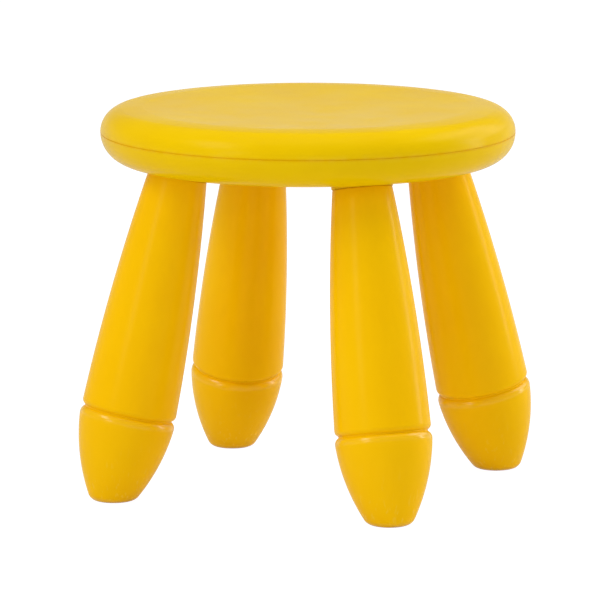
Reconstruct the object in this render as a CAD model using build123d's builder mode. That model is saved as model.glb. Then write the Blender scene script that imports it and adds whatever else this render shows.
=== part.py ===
"""Round children's stool: a moulded two-shell seat on four splayed legs that twist-lock into it.

The origin is on the floor under the seat's centre, with +Z up and the front of the stool towards -Y.
"""
from build123d import *
import os
from math import asin, cos, degrees, radians, sin, sqrt

# ---------------------------------------------------------------- driving dimensions (mm, degrees)
# Seat: two moulded shells that meet in a plane at the widest point of the rim
seat_height = 280.0            # floor to the crest round the sitting surface
seat_radius = 151.0
upper_rim_radius = 17.2        # round of the rim above the plane where the shells meet
lower_rim_radius = 22.0        # round of the rim below it, down to the flat underside
bow_rise = 0.8                 # crest above the top of the upper round
bow_span = 13.8                # crest in from the middle of that round; a flat bow joins them
dish_depth = 2.5               # the sitting surface dips this far inside the crest
seat_wall = 3.0
parting_bevel = 0.4            # bevel on each shell along the joint line
lip_height = 4.0               # lip of the lower shell inside the upper one
lip_wall = 2.0
lip_clearance = 0.2
rib_wall = 2.0
ring_rib_radius = 60.0
upper_rib_depth = 5.5          # below the middle of the dish
lower_rib_height = 11.0

# Screws that hold the shells together, driven up from the underside
screw_inset = 39.0             # seat's edge in to the outer screws
screw_shank_radius = 2.0
screw_length = 16.0
screw_head_radius = 4.0
screw_head_height = 2.6
screw_head_rounding = 1.2
screw_recess_width = 1.2
screw_recess_length = 4.6
screw_recess_depth = 1.4
well_depth = 11.5
well_clearance = 0.8           # round the screw's head
boss_wall = 2.2
boss_floor = 3.0
pilot_clearance = 0.05         # round the shank, in the upper shell
shank_clearance = 0.3          # round the shank, in the lower shell
pilot_spare = 2.0              # pilot hole beyond the screw's tip

# Legs: bodies of revolution about their own splayed axes
leg_splay = 12.8               # each leg's axis from the vertical
socket_inset = 49.4            # seat's edge in to where the leg axes cross the collars' faces
collar_drop = 6.0              # underside down to the middle of a collar's face
collar_radius = 22.0
collar_rounding = 0.8
leg_top_radius = 21.4
leg_end_radius = 34.4
leg_bulge = 2.3                # how far the side bows out from a straight taper
leg_wall = 3.2
leg_top_rounding = 0.8
leg_end_run = 4.0              # height over which the leg's end curves in to the groove
leg_names = ("front_right", "rear_right", "rear_left", "front_left")
first_leg_angle = -45.0        # the others follow at even steps

# Twist lock: lugs on the leg's spigot pass slots in the seat's socket and turn onto its rim
spigot_radius = 16.0
spigot_wall = 2.8
spigot_length = 30.0           # above the collar's face
spigot_chamfer = 1.0
socket_length = 22.0           # collar's face up to the rim that the lugs rest on
socket_wall = 2.5
lug_count = 3
lug_reach = 3.2
lug_height = 5.0
lug_angle = 34.0
turn_angle = 60.0              # from the slots to the locked position
stop_slack = 1.5               # free turn before a lug meets a stop
spigot_clearance = 0.2
lug_clearance = 0.3
seating_gap = 0.1              # leg's shoulder to the collar, and lugs to the rim

# Foot caps: they close the open ends of the legs and stand flat on the floor
foot_height = 64.7             # floor up to the middle of the groove, along the leg's axis
foot_shoulder_step = 0.3       # foot's shoulder stands out beyond the leg's end
foot_shoulder_run = 5.5        # height over which the shoulder curves in to the groove
foot_sole_radius = 15.8        # side of the foot where the leg's axis meets the floor
foot_bulge = 3.6
foot_wall = 3.0
sole_wall = 3.5
sole_rounding = 7.0
groove_width = 1.0             # bottom of the groove, between the two curves
groove_depth = 2.5
skirt_length = 14.0            # the part of the cap inside the leg
skirt_spare = 1.5              # leg's bore beyond the skirt
skirt_wall = 2.5
skirt_clearance = 0.15
bead_height = 0.5              # snap bead round the skirt
bead_width = 3.0
bead_clearance = 0.15

# ---------------------------------------------------------------- derived places
upper_rim_height = upper_rim_radius + bow_rise
parting_height = seat_height - upper_rim_height
underside_height = parting_height - lower_rim_radius
underside_radius = seat_radius - lower_rim_radius
dish_height = seat_height - dish_depth
# the bow is level at the crest and runs smoothly into the rim's round
rim_middle = seat_radius - upper_rim_radius
dish_radius = rim_middle - bow_span
bow_radius = (bow_span**2 + upper_rim_height**2 - upper_rim_radius**2) / (2 * bow_rise)
bow_angle = degrees(asin(bow_span / (bow_radius - upper_rim_radius)))
# inside of the upper shell's rim, level with the top of the lip
lip_reach = sqrt((upper_rim_radius - seat_wall) ** 2 - lip_height**2)
lip_radius = rim_middle + lip_reach - lip_clearance

well_floor = underside_height + well_depth
boss_face = well_floor + boss_floor
well_radius = screw_head_radius + well_clearance
pilot_radius = screw_shank_radius + pilot_clearance
screw_circle_radius = seat_radius - screw_inset
screw_positions = [(0, 0)] + [
    (screw_circle_radius * cos(radians(angle)), screw_circle_radius * sin(radians(angle)))
    for angle in (0, 90, 180, 270)
]

socket_circle_radius = seat_radius - socket_inset
collar_height = underside_height - collar_drop
collar_length = (collar_drop + seat_wall + collar_radius * sin(radians(leg_splay))) / cos(radians(leg_splay))
bore_radius = spigot_radius + spigot_clearance
lug_radius = spigot_radius + lug_reach
slot_radius = lug_radius + lug_clearance
slot_angle = lug_angle + 2 * stop_slack
stop_angle = 360 / lug_count - lug_angle - turn_angle - 2 * stop_slack
stop_turn = (lug_angle + stop_angle) / 2 + stop_slack

axis_length = collar_height / cos(radians(leg_splay))
leg_end = foot_height - axis_length + groove_width / 2
foot_top = leg_end - groove_width
foot_shoulder = foot_top - foot_shoulder_run
foot_shoulder_radius = leg_end_radius + foot_shoulder_step
leg_bore_radius = leg_end_radius - leg_wall
neck_radius = leg_end_radius - groove_depth
skirt_radius = leg_bore_radius - skirt_clearance
skirt_top = leg_end + skirt_length
bead_middle = leg_end + skirt_length / 2
sole_overrun = foot_sole_radius / 2


def leg_location(azimuth):
    """Place of a leg: Z up its axis from the collar's face, X away from the seat's centre."""
    outward = Vector(cos(radians(azimuth)), sin(radians(azimuth)), 0)
    upward = Vector(0, 0, 1)
    splay = radians(leg_splay)
    return Plane(
        origin=outward * socket_circle_radius + upward * collar_height,
        x_dir=outward * cos(splay) + upward * sin(splay),
        z_dir=upward * cos(splay) - outward * sin(splay),
    ).location


leg_locations = {
    name: leg_location(first_leg_angle + place * 360 / len(leg_names))
    for place, name in enumerate(leg_names)
}
# the floor, seen from a leg's own frame
ground = Plane(
    origin=(0, 0, -axis_length),
    z_dir=(sin(radians(leg_splay)), 0, cos(radians(leg_splay))),
)


def corner(section, *point):
    """Corner of a section at a point in its plane."""
    return section.vertices().sort_by_distance((*point, 0))[0]


def bowed_side(low_radius, low_end, high_radius, high_end, bulge):
    """Side of a leg or a foot: one arc from its low end to its high end."""
    middle = ((low_radius + high_radius) / 2 + bulge, (low_end + high_end) / 2)
    return ThreePointArc((low_radius, low_end), middle, (high_radius, high_end))


def lug_sectors(inner_radius, outer_radius, angle, turn):
    """One sector of a ring for each lug, turned away from the locked position."""
    far = 2 * outer_radius
    half = radians(angle / 2)
    with BuildSketch() as sectors:
        with PolarLocations(0, lug_count, start_angle=turn):
            Polygon(
                (0, 0),
                (far * cos(half), -far * sin(half)),
                (far * cos(half), far * sin(half)),
                align=None,
            )
        Circle(outer_radius, mode=Mode.INTERSECT)
        Circle(inner_radius, mode=Mode.SUBTRACT)
    return sectors.sketch


def rib_pattern(reach):
    """Ribs in plan: a ring, and spokes that reach as far as asked."""
    with BuildSketch() as ribs:
        Circle(ring_rib_radius + rib_wall / 2)
        Circle(ring_rib_radius - rib_wall / 2, mode=Mode.SUBTRACT)
        with PolarLocations(0, 4, angular_range=180):
            Rectangle(2 * reach, rib_wall)
    return ribs.sketch


# ---------------------------------------------------------------- upper shell of the seat
def upper_form(wall, bevel=0):
    """Half section of the upper shell's outside, taken in by a wall."""
    with BuildSketch() as section:
        with BuildLine():
            dish = TangentArc(
                (0, dish_height - wall),
                (dish_radius, seat_height - wall),
                tangent=(1, 0),
            )
            CenterArc(
                (dish_radius, seat_height - bow_radius),
                bow_radius - wall,
                90 - bow_angle,
                bow_angle,
            )
            CenterArc((rim_middle, parting_height), upper_rim_radius - wall, 0, 90 - bow_angle)
            Polyline((seat_radius - wall, parting_height), (0, parting_height), dish @ 0)
        make_face()
        if bevel:
            chamfer(corner(section, seat_radius - wall, parting_height), bevel)
    return section.sketch


with BuildPart() as upper_cavity:
    with BuildSketch(Plane.XZ):
        add(upper_form(seat_wall))
    revolve(axis=Axis.Z)
    # the ribs and the screw bosses are left standing in it
    with BuildSketch(Plane.XY.offset(dish_height - seat_wall - upper_rib_depth)):
        add(rib_pattern(seat_radius))
    extrude(amount=upper_rib_depth + dish_depth + seat_wall, mode=Mode.SUBTRACT)
    with BuildSketch(Plane.XY.offset(boss_face)):
        with Locations(*screw_positions):
            Circle(pilot_radius + boss_wall)
    extrude(amount=seat_height - boss_face, mode=Mode.SUBTRACT)

with BuildPart() as seat_top:
    with BuildSketch(Plane.XZ):
        add(upper_form(0, parting_bevel))
    revolve(axis=Axis.Z)
    add(upper_cavity.part, mode=Mode.SUBTRACT)
    # the bosses reach below the joint plane, down to those of the lower shell
    with BuildSketch(Plane.XY.offset(boss_face)):
        with Locations(*screw_positions):
            Circle(pilot_radius + boss_wall)
    extrude(amount=parting_height - boss_face)
    with BuildSketch(Plane.XY.offset(boss_face)):
        with Locations(*screw_positions):
            Circle(pilot_radius)
    extrude(amount=screw_length - boss_floor + pilot_spare, mode=Mode.SUBTRACT)

seat_top.part.label = "seat_top"


# ---------------------------------------------------------------- socket of the twist lock
# in a leg's own frame, with the collar's face at 0 and the lugs' locked position towards X
with BuildPart() as socket_body:
    with BuildSketch():
        Circle(bore_radius + socket_wall)
        add(
            lug_sectors(
                bore_radius,
                slot_radius + socket_wall,
                slot_angle + 2 * degrees(socket_wall / slot_radius),
                -turn_angle,
            )
        )
    extrude(amount=socket_length)
    with BuildSketch(Plane.XZ) as collar_section:
        Rectangle(collar_radius, collar_length, align=Align.MIN)
        fillet(corner(collar_section, collar_radius, 0), collar_rounding)
    revolve(axis=Axis.Z)

with BuildPart() as socket_passage:
    with BuildSketch(Plane.XY.offset(-collar_length)):
        Circle(bore_radius)
        add(lug_sectors(spigot_radius, slot_radius, slot_angle, -turn_angle))
    extrude(amount=collar_length + socket_length)
    # room above the rim for the lugs to turn in
    with BuildSketch(Plane.XY.offset(socket_length)):
        Circle(slot_radius)
    extrude(amount=spigot_length)

with BuildPart() as socket_stops:
    with BuildSketch(Plane.XY.offset(socket_length)):
        add(lug_sectors(bore_radius, bore_radius + socket_wall, stop_angle, stop_turn))
    extrude(amount=lug_height)


# ---------------------------------------------------------------- lower shell of the seat
def lower_form(wall, bevel=0):
    """Half section of the lower shell's outside, taken in by a wall."""
    with BuildSketch() as section:
        with BuildLine():
            rim = CenterArc((underside_radius, parting_height), lower_rim_radius - wall, 270, 90)
            Polyline(rim @ 1, (0, parting_height), (0, underside_height + wall), rim @ 0)
        make_face()
        if bevel:
            chamfer(corner(section, seat_radius - wall, parting_height), bevel)
    return section.sketch


with BuildPart() as lower_cavity:
    with BuildSketch(Plane.XZ):
        add(lower_form(seat_wall))
    revolve(axis=Axis.Z)
    with BuildSketch(Plane.XY.offset(underside_height)):
        add(rib_pattern(underside_radius))
    extrude(amount=seat_wall + lower_rib_height, mode=Mode.SUBTRACT)
    with BuildSketch(Plane.XY.offset(underside_height)):
        with Locations(*screw_positions):
            Circle(well_radius + boss_wall)
    extrude(amount=well_depth + boss_floor, mode=Mode.SUBTRACT)

with BuildPart() as seat_base:
    with BuildSketch(Plane.XZ):
        add(lower_form(0, parting_bevel))
    revolve(axis=Axis.Z)
    add(lower_cavity.part, mode=Mode.SUBTRACT)
    # lip inside the rim, on a foot that joins it to the wall
    with BuildSketch(Plane.XZ):
        with Locations((lip_radius, parting_height)):
            Rectangle(lip_wall, 2 * lip_height, align=(Align.MAX, Align.CENTER))
        with Locations((seat_radius - seat_wall / 2, parting_height)):
            Rectangle(
                seat_radius - seat_wall / 2 - lip_radius + lip_wall,
                lip_height,
                align=(Align.MAX, Align.MAX),
            )
    revolve(axis=Axis.Z)
    with Locations(*leg_locations.values()):
        add(socket_body.part)
        add(socket_passage.part, mode=Mode.SUBTRACT)
        add(socket_stops.part)
    with BuildSketch(Plane.XY.offset(underside_height)):
        with Locations(*screw_positions):
            Circle(well_radius)
    extrude(amount=well_depth, mode=Mode.SUBTRACT)
    with BuildSketch(Plane.XY.offset(well_floor)):
        with Locations(*screw_positions):
            Circle(screw_shank_radius + shank_clearance)
    extrude(amount=boss_floor, mode=Mode.SUBTRACT)

seat_base.part.label = "seat_base"


# ---------------------------------------------------------------- screws
with BuildPart() as screw:
    with BuildSketch(Plane.XZ) as screw_section:
        with Locations((0, well_floor)):
            Rectangle(screw_head_radius, screw_head_height, align=(Align.MIN, Align.MAX))
            Rectangle(screw_shank_radius, screw_length, align=Align.MIN)
        fillet(
            corner(screw_section, screw_head_radius, well_floor - screw_head_height),
            screw_head_rounding,
        )
        chamfer(
            corner(screw_section, screw_shank_radius, well_floor + screw_length),
            screw_shank_radius / 2,
        )
    revolve(axis=Axis.Z)
    # cross recess
    with BuildSketch(Plane.XY.offset(well_floor - screw_head_height)):
        Rectangle(screw_recess_length, screw_recess_width)
        Rectangle(screw_recess_width, screw_recess_length)
    extrude(amount=screw_recess_depth, mode=Mode.SUBTRACT)

with BuildPart() as seat_screws:
    with Locations(*screw_positions):
        add(screw.part)

seat_screws.part.label = "seat_screws"


# ---------------------------------------------------------------- leg, in its own frame
with BuildPart() as leg:
    with BuildSketch(Plane.XZ) as leg_section:
        with BuildLine():
            outside = bowed_side(
                leg_end_radius,
                leg_end + leg_end_run,
                leg_top_radius,
                -seating_gap,
                leg_bulge,
            )
            end_curve = TangentArc(outside @ 0, (neck_radius, leg_end), tangent=-(outside % 0))
            inside = bowed_side(
                leg_bore_radius,
                leg_end,
                leg_top_radius - leg_wall,
                -seating_gap - leg_wall,
                leg_bulge,
            )
            Line(end_curve @ 1, inside @ 0)
            Polyline(
                inside @ 1,
                (spigot_radius - spigot_wall, -seating_gap - leg_wall),
                (spigot_radius - spigot_wall, spigot_length - spigot_wall),
                (0, spigot_length - spigot_wall),
                (0, spigot_length),
                (spigot_radius, spigot_length),
                (spigot_radius, -seating_gap),
                outside @ 1,
            )
        make_face()
        fillet(corner(leg_section, leg_top_radius, -seating_gap), leg_top_rounding)
        chamfer(corner(leg_section, spigot_radius, spigot_length), spigot_chamfer)
    revolve(axis=Axis.Z)
    with BuildSketch(Plane.XY.offset(socket_length + seating_gap)):
        add(lug_sectors(spigot_radius - spigot_wall / 2, lug_radius, lug_angle, 0))
    extrude(amount=lug_height)
    # bore for the foot's skirt, with the groove for its snap bead
    with BuildSketch(Plane.XY.offset(leg_end)):
        Circle(leg_bore_radius)
    extrude(amount=skirt_length + skirt_spare, mode=Mode.SUBTRACT)
    with BuildSketch(Plane.XZ):
        with Locations((skirt_radius, bead_middle)):
            Rectangle(
                bead_height + bead_clearance,
                bead_width + 2 * bead_clearance,
                align=(Align.MIN, Align.CENTER),
            )
    revolve(axis=Axis.Z, mode=Mode.SUBTRACT)


# ---------------------------------------------------------------- foot cap, in the leg's frame
def foot_section(wall, *upper_outline):
    """Half section of the foot, taken in by a wall and carried on below the floor.

    The upper outline starts where the shoulder's curve ends, and ends on the axis.
    """
    with BuildSketch() as section:
        with BuildLine():
            side = bowed_side(
                foot_sole_radius - wall,
                -axis_length,
                foot_shoulder_radius - wall,
                foot_shoulder,
                foot_bulge,
            )
            TangentArc(side @ 1, upper_outline[0], tangent=side % 1)
            Polyline(*upper_outline)
            toe = Line(side @ 0, side @ 0 - (side % 0) * sole_overrun)
            Polyline(toe @ 1, (0, (toe @ 1).Y), upper_outline[-1])
        make_face()
    return section.sketch


with BuildPart() as foot_cavity:
    # its shoulder curve ends half a wall lower, which keeps the wall even
    with BuildSketch(Plane.XZ):
        add(
            foot_section(
                foot_wall,
                (skirt_radius - skirt_wall, foot_top - foot_wall / 2),
                (skirt_radius - skirt_wall, skirt_top),
                (0, skirt_top),
            )
        )
    revolve(axis=Axis.Z)
    split(bisect_by=ground.offset(sole_wall), keep=Keep.TOP)
    # crossed ribs carry the load from the shoulder to the sole
    with BuildSketch(Plane.XY.offset(foot_top)):
        with PolarLocations(0, 2, angular_range=180):
            Rectangle(2 * foot_shoulder_radius, rib_wall)
    extrude(amount=-axis_length, mode=Mode.SUBTRACT)

with BuildPart() as foot:
    with BuildSketch(Plane.XZ):
        add(
            foot_section(
                0,
                (neck_radius, foot_top),
                (neck_radius, leg_end),
                (skirt_radius, leg_end),
                (skirt_radius, skirt_top),
                (0, skirt_top),
            )
        )
    revolve(axis=Axis.Z)
    split(bisect_by=ground, keep=Keep.TOP)
    fillet(foot.faces().sort_by(Axis.Z)[0].edges(), sole_rounding)
    add(foot_cavity.part, mode=Mode.SUBTRACT)
    with BuildSketch(Plane.XZ):
        with Locations((skirt_radius - skirt_wall / 2, bead_middle)):
            Rectangle(skirt_wall / 2 + bead_height, bead_width, align=(Align.MIN, Align.CENTER))
    revolve(axis=Axis.Z)

# ---------------------------------------------------------------- pieces in their places
os.makedirs("parts", exist_ok=True)
export_step(seat_top.part, "parts/seat_top.step")
export_step(seat_base.part, "parts/seat_base.step")
export_step(seat_screws.part, "parts/seat_screws.step")

for name, location in leg_locations.items():
    with BuildPart() as placed_leg:
        with Locations(location):
            add(leg.part)
    placed_leg.part.label = f"leg_{name}"
    export_step(placed_leg.part, f"parts/leg_{name}.step")
    with BuildPart() as placed_foot:
        with Locations(location):
            add(foot.part)
    placed_foot.part.label = f"foot_{name}"
    export_step(placed_foot.part, f"parts/foot_{name}.step")
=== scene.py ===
"""Looks for the round moulded stool: satin yellow plastic, plated screws, white studio."""
from math import cos, radians, sin

import bpy
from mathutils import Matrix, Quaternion, Vector


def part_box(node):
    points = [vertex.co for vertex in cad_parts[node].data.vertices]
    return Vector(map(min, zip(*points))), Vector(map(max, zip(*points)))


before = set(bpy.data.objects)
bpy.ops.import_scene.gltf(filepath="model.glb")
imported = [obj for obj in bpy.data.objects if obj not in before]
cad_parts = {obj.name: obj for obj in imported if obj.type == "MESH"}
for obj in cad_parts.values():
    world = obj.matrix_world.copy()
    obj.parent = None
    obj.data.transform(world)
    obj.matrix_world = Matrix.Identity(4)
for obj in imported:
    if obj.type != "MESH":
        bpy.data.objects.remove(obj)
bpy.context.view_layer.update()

WHITE = 1.0, 1.0, 1.0, 1.0

# ---------------------------------------------------------------- camera (degrees, metres)
IMAGE_WIDTH = 612              # pixels
SENSOR_WIDTH = 36.0            # millimetres
FOCAL_PIXELS = 5268.0
VIEW_AZIMUTH = 22.7
VIEW_ELEVATION = 9.97
VIEW_DISTANCE = 3.854
TARGET_HEIGHT = 0.1323
TARGET_SIDE = -0.0014          # to the right of the seat's middle, as the camera sees it

# ---------------------------------------------------------------- light levels
# The studio's walls are bright and its ceiling is darker. Each line gives the strength at the
# horizon, the strength overhead, and the sine of the elevation from which the second one holds:
# first of the light that falls on things, then of what glossy surfaces mirror.
FILL_HORIZON, FILL_CEILING, FILL_END = 0.69, 0.53, 0.70
GLOSS_HORIZON, GLOSS_CEILING, GLOSS_END = 0.70, 0.12, 0.35
BACKDROP = 1.0                 # white, behind the object as the camera sees it
FLOOR_ALBEDO = 0.86
FLOOR_SHADOW = 0.20            # share of the floor's own shading that the camera sees
FLOOR_GLOW = 1.20              # white of the rest, which makes up for the floor's albedo
FLOOR_SIZE = 14.0
FLOOR_GAP = 0.0001             # under the soles, so that no two faces coincide
LAMP_DISTANCE = 2.2


# ---------------------------------------------------------------- node helpers
def new_material(name):
    """A material with no nodes yet, and its tree."""
    material = bpy.data.materials.new(name)
    material.use_nodes = True
    material.node_tree.nodes.clear()
    return material, material.node_tree


def feed(tree, socket, value):
    """Link an input to another node's output, or set it to a plain value."""
    if isinstance(value, bpy.types.NodeSocket):
        tree.links.new(value, socket)
    else:
        socket.default_value = value


def node(tree, kind, **inputs):
    """A node with its inputs fed: Base_Color= is for the input Base Color, _1= for number 1."""
    made = tree.nodes.new(kind)
    for key, value in inputs.items():
        if key[1:].isdigit():
            feed(tree, made.inputs[int(key[1:])], value)
        else:
            feed(tree, made.inputs[key.replace("_", " ")], value)
    return made


def show(tree, kind, shader):
    """Make a tree's output node, and join the shader to it."""
    output = tree.nodes.new(kind)
    tree.links.new(shader.outputs[0], output.inputs["Surface"])


def maths(tree, operation, a, b=0.0):
    """One operation on two numbers, or on the first alone."""
    made = node(tree, "ShaderNodeMath", _0=a, _1=b)
    made.operation = operation
    return made.outputs[0]


def upward(tree, vector):
    """The upward part of a place or direction."""
    return node(tree, "ShaderNodeSeparateXYZ", Vector=vector).outputs["Z"]


def noise(tree, where, scale, detail=2.0, roughness=0.5):
    """Soft noise from 0 to 1."""
    made = node(tree, "ShaderNodeTexNoise", Vector=where, Scale=scale, Detail=detail, Roughness=roughness)
    return made.outputs["Fac"]


def span(tree, value, low, high, to_low, to_high):
    """A value carried from one range to another, and held at its ends."""
    made = node(
        tree, "ShaderNodeMapRange", Value=value,
        From_Min=low, From_Max=high, To_Min=to_low, To_Max=to_high,
    )
    made.clamp = True
    return made.outputs["Result"]


def mixed(tree, factor, first, second):
    """A colour between two. The node's other sockets mix numbers and vectors."""
    made = tree.nodes.new("ShaderNodeMix")
    made.data_type = "RGBA"
    feed(tree, made.inputs[0], factor)
    feed(tree, made.inputs[6], first)
    feed(tree, made.inputs[7], second)
    return made.outputs[2]


def bump(tree, height, strength, depth, **below):
    """The normal of a relief; Normal= is that of a relief it lies on."""
    made = node(tree, "ShaderNodeBump", Height=height, Strength=strength, Distance=depth, **below)
    return made.outputs["Normal"]


def linear(red, green, blue):
    """Scene-linear colour of an sRGB one, given in 0 to 255."""
    values = [v / 255 for v in (red, green, blue)]
    return tuple(v / 12.92 if v <= 0.04045 else ((v + 0.055) / 1.055) ** 2.4 for v in values) + (1.0,)


# ---------------------------------------------------------------- moulded plastic
# Lengths are in metres, and a noise's scale is about how many of its features go to a metre.
# Where a pair is a range, what it governs starts at the first value and is full at the second.
PLASTIC_IOR = 1.49
SHEEN_LEVEL = 0.06             # weak, because white sheen would pale so pure a yellow
SHEEN_TINT = 1.0, 1.0, 0.7, 1.0

CLOUD_SCALE = 14               # slow changes of colour
CLOUD_RANGE = 0.35, 0.65

LIP_HEIGHT = 0.004             # of the lower shell's lip, above the joint line
# Painted shade: the colour deepens along the joint line, where shade falls at the joint.
SEAM_SHADE_SPREAD = 0.0018           # of the painted shade, to each side of the joint line
SEAM_SHADE_SHARE = 0.35              # of the painted shade's colour, on the line itself
SEAM_SHADE_COLOUR = linear(215, 140, 0)

EDGE_RANGE = 0.52, 0.60        # of pointiness, for pale edges: partly wear, partly painted highlight
LEVEL_RANGE = 0.95, 0.98       # of the normal's upward part, for level surfaces
PATCH_SCALE = 90               # the rubbing is patchy
PATCH_RANGE = 0.42, 0.62
WORN_AND_HIGHLIGHT_SHARE = 0.45            # of the pale colour of wear and painted highlight, at most

SCRATCH_SCALES = 420, 420, 60  # narrow and upright
SCRATCH_RANGE = 0.60, 0.70
SCRATCH_TOP = 0.05             # there are none above this height
SCRATCH_ROUGHNESS = 0.2        # on top of the plastic's own

# Cycles' denoiser treats surfaces smoother than about 0.27 as mirrors. Where slow gloss changes
# cross that value, their contours show, so they stay below it.
ROUGHNESS_LEAST, ROUGHNESS_MOST = 0.20, 0.27
GLOSS_SCALE = 32
GLOSS_RANGE = 0.3, 0.7

SHOULDER_RANGE = 0.508, 0.513  # of pointiness, for the foot caps' rounded shoulders
SHOULDER_ROUGHNESS = 0.2

FLOW_SCALE, FLOW_DEPTH = 22, 0.00012       # slow waves of the moulding
PIT_SCALE, PIT_DEPTH = 420, 0.00005        # its grain
FINE_SCALE, FINE_DEPTH = 1500, 0.00002     # and finer grain on that


def worn_and_highlight_edges(tree, coordinates):
    """Share of pale wear and painted highlight: patches along outer edges, but none on level surfaces."""
    surface = tree.nodes.new("ShaderNodeNewGeometry").outputs
    edge = span(tree, surface["Pointiness"], *EDGE_RANGE, 0, 1)
    level = maths(tree, "ABSOLUTE", upward(tree, surface["Normal"]))
    edge = maths(tree, "MULTIPLY", edge, span(tree, level, *LEVEL_RANGE, 1, 0))
    patches = noise(tree, coordinates, PATCH_SCALE, detail=4, roughness=0.65)
    patches = span(tree, patches, *PATCH_RANGE, 0, 1)
    return maths(tree, "MULTIPLY", maths(tree, "MULTIPLY", edge, patches), WORN_AND_HIGHLIGHT_SHARE)


def scratches(tree, coordinates, strength):
    """Share of fine upright scratches, which are strongest at the floor."""
    streaks = node(tree, "ShaderNodeMapping", Vector=coordinates, Scale=SCRATCH_SCALES).outputs["Vector"]
    scratch = span(tree, noise(tree, streaks, scale=1.0), *SCRATCH_RANGE, 0, 1)
    low = span(tree, upward(tree, coordinates), 0, SCRATCH_TOP, strength, 0)
    return maths(tree, "MULTIPLY", scratch, low)


def moulded_plastic(name, colour, deep, worn_and_highlight, grain, seam=None, scuffs=None, polish=None):
    """Satin polypropylene: clouded colour, slow gloss changes, moulded grain, and pale edges of wear and
    painted highlight.

    seam is the height of a joint line, along which the colour is deeper as painted shade. scuffs is the
    strength of the scratches near the floor, and polish is how much handling has polished rounded
    shoulders.
    """
    material, tree = new_material(name)
    coordinates = tree.nodes.new("ShaderNodeTexCoord").outputs["Object"]

    clouds = noise(tree, coordinates, CLOUD_SCALE, detail=3)
    body = mixed(tree, span(tree, clouds, *CLOUD_RANGE, 0, 1), colour, deep)
    if seam is not None:
        # Painted shade: the colour deepens towards the joint line.
        away = maths(tree, "ABSOLUTE", maths(tree, "SUBTRACT", upward(tree, coordinates), seam))
        body = mixed(tree, span(tree, away, 0, SEAM_SHADE_SPREAD, SEAM_SHADE_SHARE, 0), body, SEAM_SHADE_COLOUR)
    # Pale edges: partly wear, partly a painted highlight.
    body = mixed(tree, worn_and_highlight_edges(tree, coordinates), body, worn_and_highlight)

    gloss = noise(tree, coordinates, GLOSS_SCALE, detail=1)
    roughness = span(tree, gloss, *GLOSS_RANGE, ROUGHNESS_LEAST, ROUGHNESS_MOST)
    if scuffs is not None:
        scratched = scratches(tree, coordinates, scuffs)
        body = mixed(tree, scratched, body, worn_and_highlight)
        roughness = maths(tree, "ADD", roughness, maths(tree, "MULTIPLY", scratched, SCRATCH_ROUGHNESS))

    relief = bump(tree, noise(tree, coordinates, FLOW_SCALE, detail=1), strength=1.0, depth=FLOW_DEPTH)
    relief = bump(tree, noise(tree, coordinates, PIT_SCALE, detail=3), grain, PIT_DEPTH, Normal=relief)
    relief = bump(tree, noise(tree, coordinates, FINE_SCALE), grain, FINE_DEPTH, Normal=relief)

    shader = node(
        tree, "ShaderNodeBsdfPrincipled",
        Base_Color=body, Roughness=roughness, IOR=PLASTIC_IOR, Normal=relief,
        Specular_IOR_Level=SHEEN_LEVEL, Specular_Tint=SHEEN_TINT,
    )
    if polish is not None:
        pointiness = tree.nodes.new("ShaderNodeNewGeometry").outputs["Pointiness"]
        feed(tree, shader.inputs["Coat Weight"], span(tree, pointiness, *SHOULDER_RANGE, 0, polish))
        feed(tree, shader.inputs["Coat Roughness"], SHOULDER_ROUGHNESS)
    show(tree, "ShaderNodeOutputMaterial", shader)
    return material


# ---------------------------------------------------------------- plated steel
STEEL_BRIGHT = linear(196, 197, 196)
STEEL_DULL = linear(168, 168, 164)
STEEL_SMOOTHEST, STEEL_ROUGHEST = 0.24, 0.42
MOTTLE_SCALE = 900
MOTTLE_RANGE = 0.3, 0.7
MOTTLE_DEPTH = 0.00002


def plated_steel(name):
    """Zinc-plated steel, slightly mottled: its duller spots are rougher."""
    material, tree = new_material(name)
    coordinates = tree.nodes.new("ShaderNodeTexCoord").outputs["Object"]
    mottle = noise(tree, coordinates, MOTTLE_SCALE, detail=4)
    shader = node(
        tree, "ShaderNodeBsdfPrincipled", Metallic=1.0,
        Base_Color=mixed(tree, span(tree, mottle, *MOTTLE_RANGE, 0, 1), STEEL_BRIGHT, STEEL_DULL),
        Roughness=span(tree, mottle, *MOTTLE_RANGE, STEEL_SMOOTHEST, STEEL_ROUGHEST),
        Normal=bump(tree, mottle, strength=0.4, depth=MOTTLE_DEPTH),
    )
    show(tree, "ShaderNodeOutputMaterial", shader)
    return material


# ---------------------------------------------------------------- materials of the pieces
seat_plastic = moulded_plastic(
    "seat_plastic",
    colour=linear(234, 193, 0), deep=linear(231, 188, 0), worn_and_highlight=linear(242, 212, 80),
    grain=0.55, seam=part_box("seat_base")[1][2] - LIP_HEIGHT,
)
leg_plastic = moulded_plastic(
    "leg_plastic",
    colour=linear(247, 193, 0), deep=linear(245, 188, 0), worn_and_highlight=linear(248, 210, 78),
    grain=0.4,
)
foot_plastic = moulded_plastic(
    "foot_plastic",
    colour=linear(247, 193, 0), deep=linear(244, 188, 0), worn_and_highlight=linear(247, 208, 80),
    grain=0.4, scuffs=0.35, polish=0.6,
)
screw_steel = plated_steel("screw_steel")

for name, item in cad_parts.items():
    if name.startswith("leg_"):
        chosen = leg_plastic
    elif name.startswith("foot_"):
        chosen = foot_plastic
    elif name == "seat_screws":
        chosen = screw_steel
    else:
        chosen = seat_plastic
    for slot in item.material_slots:
        slot.material = chosen


# ---------------------------------------------------------------- floor and world
def seen_directly(tree):
    """1 for rays that come from the camera, through glass or not, 0 for all others."""
    path = tree.nodes.new("ShaderNodeLightPath").outputs
    return maths(tree, "MAXIMUM", path["Is Camera Ray"], path["Is Transmission Ray"])


def seen_in_gloss(tree):
    """1 for rays that a glossy surface sends out, 0 for all others."""
    return tree.nodes.new("ShaderNodeLightPath").outputs["Is Glossy Ray"]


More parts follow.
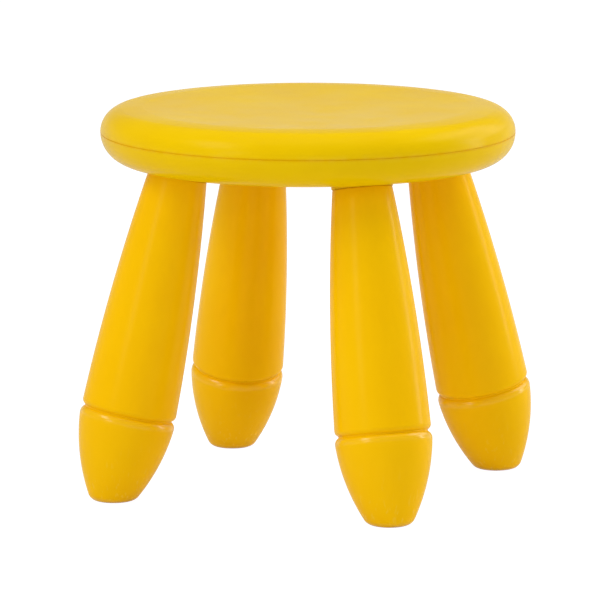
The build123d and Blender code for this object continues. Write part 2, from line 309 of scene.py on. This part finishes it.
def white_floor(name):
    """White floor that keeps the object's shadow. From below it is clear, to show the underside."""
    material, tree = new_material(name)
    plain = node(tree, "ShaderNodeBsdfDiffuse", Color=(FLOOR_ALBEDO, FLOOR_ALBEDO, FLOOR_ALBEDO, 1.0))
    glow = span(tree, seen_in_gloss(tree), 0, 1, FLOOR_GLOW, GLOSS_HORIZON)
    white = node(tree, "ShaderNodeEmission", Color=WHITE, Strength=glow)
    seen = maths(tree, "MAXIMUM", seen_directly(tree), seen_in_gloss(tree))
    share = maths(tree, "MULTIPLY", seen, 1 - FLOOR_SHADOW)
    above = node(tree, "ShaderNodeMixShader", Fac=share, _1=plain.outputs[0], _2=white.outputs[0])

    from_below = tree.nodes.new("ShaderNodeNewGeometry").outputs["Backfacing"]
    clear = node(tree, "ShaderNodeBsdfTransparent", Color=WHITE)
    both = node(tree, "ShaderNodeMixShader", Fac=from_below, _1=above.outputs[0], _2=clear.outputs[0])
    show(tree, "ShaderNodeOutputMaterial", both)
    return material


def studio_world(name):
    """White for the camera, and otherwise bright walls under a darker ceiling."""
    world = bpy.data.worlds.new(name)
    world.use_nodes = True
    tree = world.node_tree
    tree.nodes.clear()
    height = upward(tree, tree.nodes.new("ShaderNodeTexCoord").outputs["Generated"])
    fill = span(tree, height, 0, FILL_END, FILL_HORIZON, FILL_CEILING)
    mirrored = span(tree, height, 0, GLOSS_END, GLOSS_HORIZON, GLOSS_CEILING)
    strength = span(tree, seen_in_gloss(tree), 0, 1, fill, mirrored)
    strength = span(tree, seen_directly(tree), 0, 1, strength, BACKDROP)
    background = node(tree, "ShaderNodeBackground", Color=WHITE, Strength=strength)
    show(tree, "ShaderNodeOutputWorld", background)
    return world


bpy.ops.mesh.primitive_plane_add(size=FLOOR_SIZE, location=(0, 0, -FLOOR_GAP))
floor = bpy.context.object
floor.name = "floor"
floor.data.materials.append(white_floor("floor_white"))
bpy.context.scene.world = studio_world("studio")


# ---------------------------------------------------------------- camera and lamps
def direction(azimuth, elevation):
    """Unit vector from the object towards a place round it; azimuth 0 is at its front."""
    a, e = radians(azimuth), radians(elevation)
    return Vector((sin(a) * cos(e), -cos(a) * cos(e), sin(e)))


target = direction(VIEW_AZIMUTH + 90, 0) * TARGET_SIDE + Vector((0, 0, TARGET_HEIGHT))


def set_up(name, data, azimuth, elevation, distance, roll=0.0):
    """Put the camera or a lamp round the target, aim it there, and roll it about that line."""
    item = bpy.data.objects.new(name, data)
    bpy.context.scene.collection.objects.link(item)
    item.location = target + direction(azimuth, elevation) * distance
    towards = (target - item.location).to_track_quat("-Z", "Y")
    item.rotation_euler = (towards @ Quaternion((0, 0, 1), radians(roll))).to_euler()
    return item


def softbox(name, azimuth, elevation, width, height, watts, roll=0.0, mirrored=True):
    """Area lamp. Its azimuth counts from the camera, to the right.

    Glossy surfaces mirror it only where mirrored is true. It lights them either way.
    """
    lamp = bpy.data.lights.new(name, "AREA")
    lamp.shape = "RECTANGLE"
    lamp.size = width
    lamp.size_y = height
    lamp.energy = watts
    item = set_up(name, lamp, VIEW_AZIMUTH + azimuth, elevation, LAMP_DISTANCE, roll)
    item.visible_glossy = mirrored


softbox("left", azimuth=-62, elevation=44, width=0.55, height=1.0, watts=11, roll=33)
softbox("left_low", azimuth=-42, elevation=18, width=0.4, height=0.7, watts=4)
softbox("right", azimuth=120, elevation=30, width=1.6, height=1.1, watts=10)
softbox("right_high", azimuth=106, elevation=46, width=1.2, height=0.6, watts=5)
softbox("right_low", azimuth=103, elevation=12, width=0.4, height=1.0, watts=7)
softbox("top", azimuth=0, elevation=86, width=1.8, height=1.8, watts=15, mirrored=False)

optics = bpy.data.cameras.new("camera")
optics.sensor_width = SENSOR_WIDTH
optics.lens = FOCAL_PIXELS * SENSOR_WIDTH / IMAGE_WIDTH
camera = set_up("camera", optics, VIEW_AZIMUTH, VIEW_ELEVATION, VIEW_DISTANCE)
bpy.context.scene.camera = camera
bpy.context.scene.view_settings.view_transform = "Standard"
